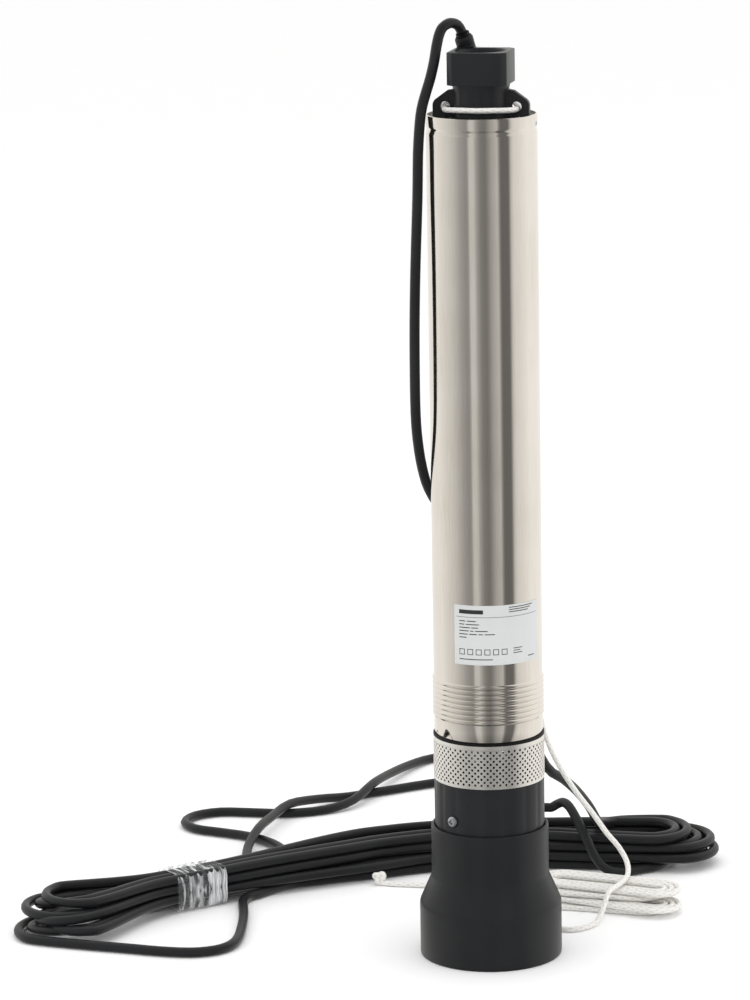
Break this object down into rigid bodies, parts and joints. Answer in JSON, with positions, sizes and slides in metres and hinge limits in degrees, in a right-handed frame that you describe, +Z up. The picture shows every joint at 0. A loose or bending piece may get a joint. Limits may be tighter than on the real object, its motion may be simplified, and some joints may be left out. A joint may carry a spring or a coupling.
{
  "type": "borehole submersible pump",
  "caption": "Slim upright borehole pump in a steel sleeve with strainer band, flared foot, threaded outlet head, check valve, tied cable hank with plug and a white lifting rope.",
  "frame": {"origin": "centre of the foot's rest face, on the floor", "axes": "+Z up along the pump axis towards the outlet, -Y is the labelled front, +X to its right"},
  "size_m": [0.6712, 0.7135, 0.8296],
  "materials": {
    "foot_plastic": "satin moulded",
    "black_plastic": "satin moulded",
    "sleeve_steel": "fine drawn",
    "strainer_steel": "perforated",
    "label_film": "printed film",
    "screw_zinc": "zinc plated",
    "seal_rubber": "moulded",
    "stage_plastic": "moulded",
    "valve_plastic": "moulded",
    "shaft_steel": "ground",
    "core_iron": "laminated",
    "winding_copper": "enamelled",
    "cast_aluminium": "cast",
    "seal_ceramic": "lapped",
    "capacitor_shell": "smooth",
    "lead_insulation": "smooth",
    "cable_rubber": "extruded",
    "pin_nickel": "plated",
    "tape_film": "clear film",
    "rope_fibre": "braided"
  },
  "bodies": {
    "pump": {"foot": "foot_plastic", "bottom_cap": "black_plastic", "cap_screws": "screw_zinc", "strainer": "strainer_steel", "intake_housing": "black_plastic", "intake_bush": "winding_copper", "sleeve_gasket": "seal_rubber", "outer_sleeve": "sleeve_steel", "rating_label": "label_film", "stator_core": "core_iron", "stator_windings": "winding_copper", "motor_can": "sleeve_steel", "motor_lower_bracket": "cast_aluminium", "motor_upper_bracket": "cast_aluminium", "motor_top_cap": "cast_aluminium", "can_o_rings": "seal_rubber", "lower_bearing_outer": "shaft_steel", "upper_bearing_outer": "shaft_steel", "seal_seat": "seal_ceramic", "run_capacitor": "capacitor_shell", "motor_leads": "lead_insulation", "discharge_head": "black_plastic", "head_o_ring": "seal_rubber", "head_screws": "screw_zinc", "gland_grommet": "seal_rubber", "gland_nut": "black_plastic", "cable_tail": "cable_rubber", "valve_cage": "valve_plastic", "valve_spring": "shaft_steel", "stage_casing_1": "stage_plastic", "stage_casing_2": "stage_plastic", "stage_casing_3": "stage_plastic", "stage_casing_4": "stage_plastic", "stage_casing_5": "stage_plastic", "power_cable": "cable_rubber", "cable_slack": "cable_rubber", "cable_loop": "cable_rubber", "plug_lead": "cable_rubber", "cable_hank": "cable_rubber", "hank_tape": "tape_film", "power_plug": "cable_rubber", "plug_pins": "pin_nickel", "lifting_rope": "rope_fibre", "rope_hank": "rope_fibre"},
    "rotor": {"motor_shaft": "shaft_steel", "rotor_core": "core_iron", "impeller_spacers": "shaft_steel", "shaft_nut": "shaft_steel", "lower_bearing_inner": "shaft_steel", "upper_bearing_inner": "shaft_steel", "seal_head": "seal_ceramic", "impeller_1": "stage_plastic", "impeller_2": "stage_plastic", "impeller_3": "stage_plastic", "impeller_4": "stage_plastic", "impeller_5": "stage_plastic"},
    "lower_balls": {"lower_bearing_balls": "shaft_steel"},
    "upper_balls": {"upper_bearing_balls": "shaft_steel"},
    "valve": {"valve_poppet": "valve_plastic", "valve_gasket": "seal_rubber"}
  },
  "joints": [
    {"name": "rotor_spin", "type": "hinge", "parent": "pump", "child": "rotor", "pos_m": [0, 0, 0.4], "axis": [0, 0, 1], "continuous": true},
    {"name": "lower_balls_spin", "type": "hinge", "parent": "pump", "child": "lower_balls", "pos_m": [0, 0, 0.3625], "axis": [0, 0, 1], "continuous": true},
    {"name": "upper_balls_spin", "type": "hinge", "parent": "pump", "child": "upper_balls", "pos_m": [0, 0, 0.6035], "axis": [0, 0, 1], "continuous": true},
    {"name": "valve_lift", "type": "slide", "parent": "pump", "child": "valve", "axis": [0, 0, 1], "range_m": [0, 0.008], "stiffness_N_per_m": 120, "springref_m": -0.004, "deforming": ["valve_spring"]}
  ],
  "couplings": [
    {"joint": "lower_balls_spin", "follows": "rotor_spin", "ratio": 0.38},
    {"joint": "upper_balls_spin", "follows": "rotor_spin", "ratio": 0.38}
  ]
}
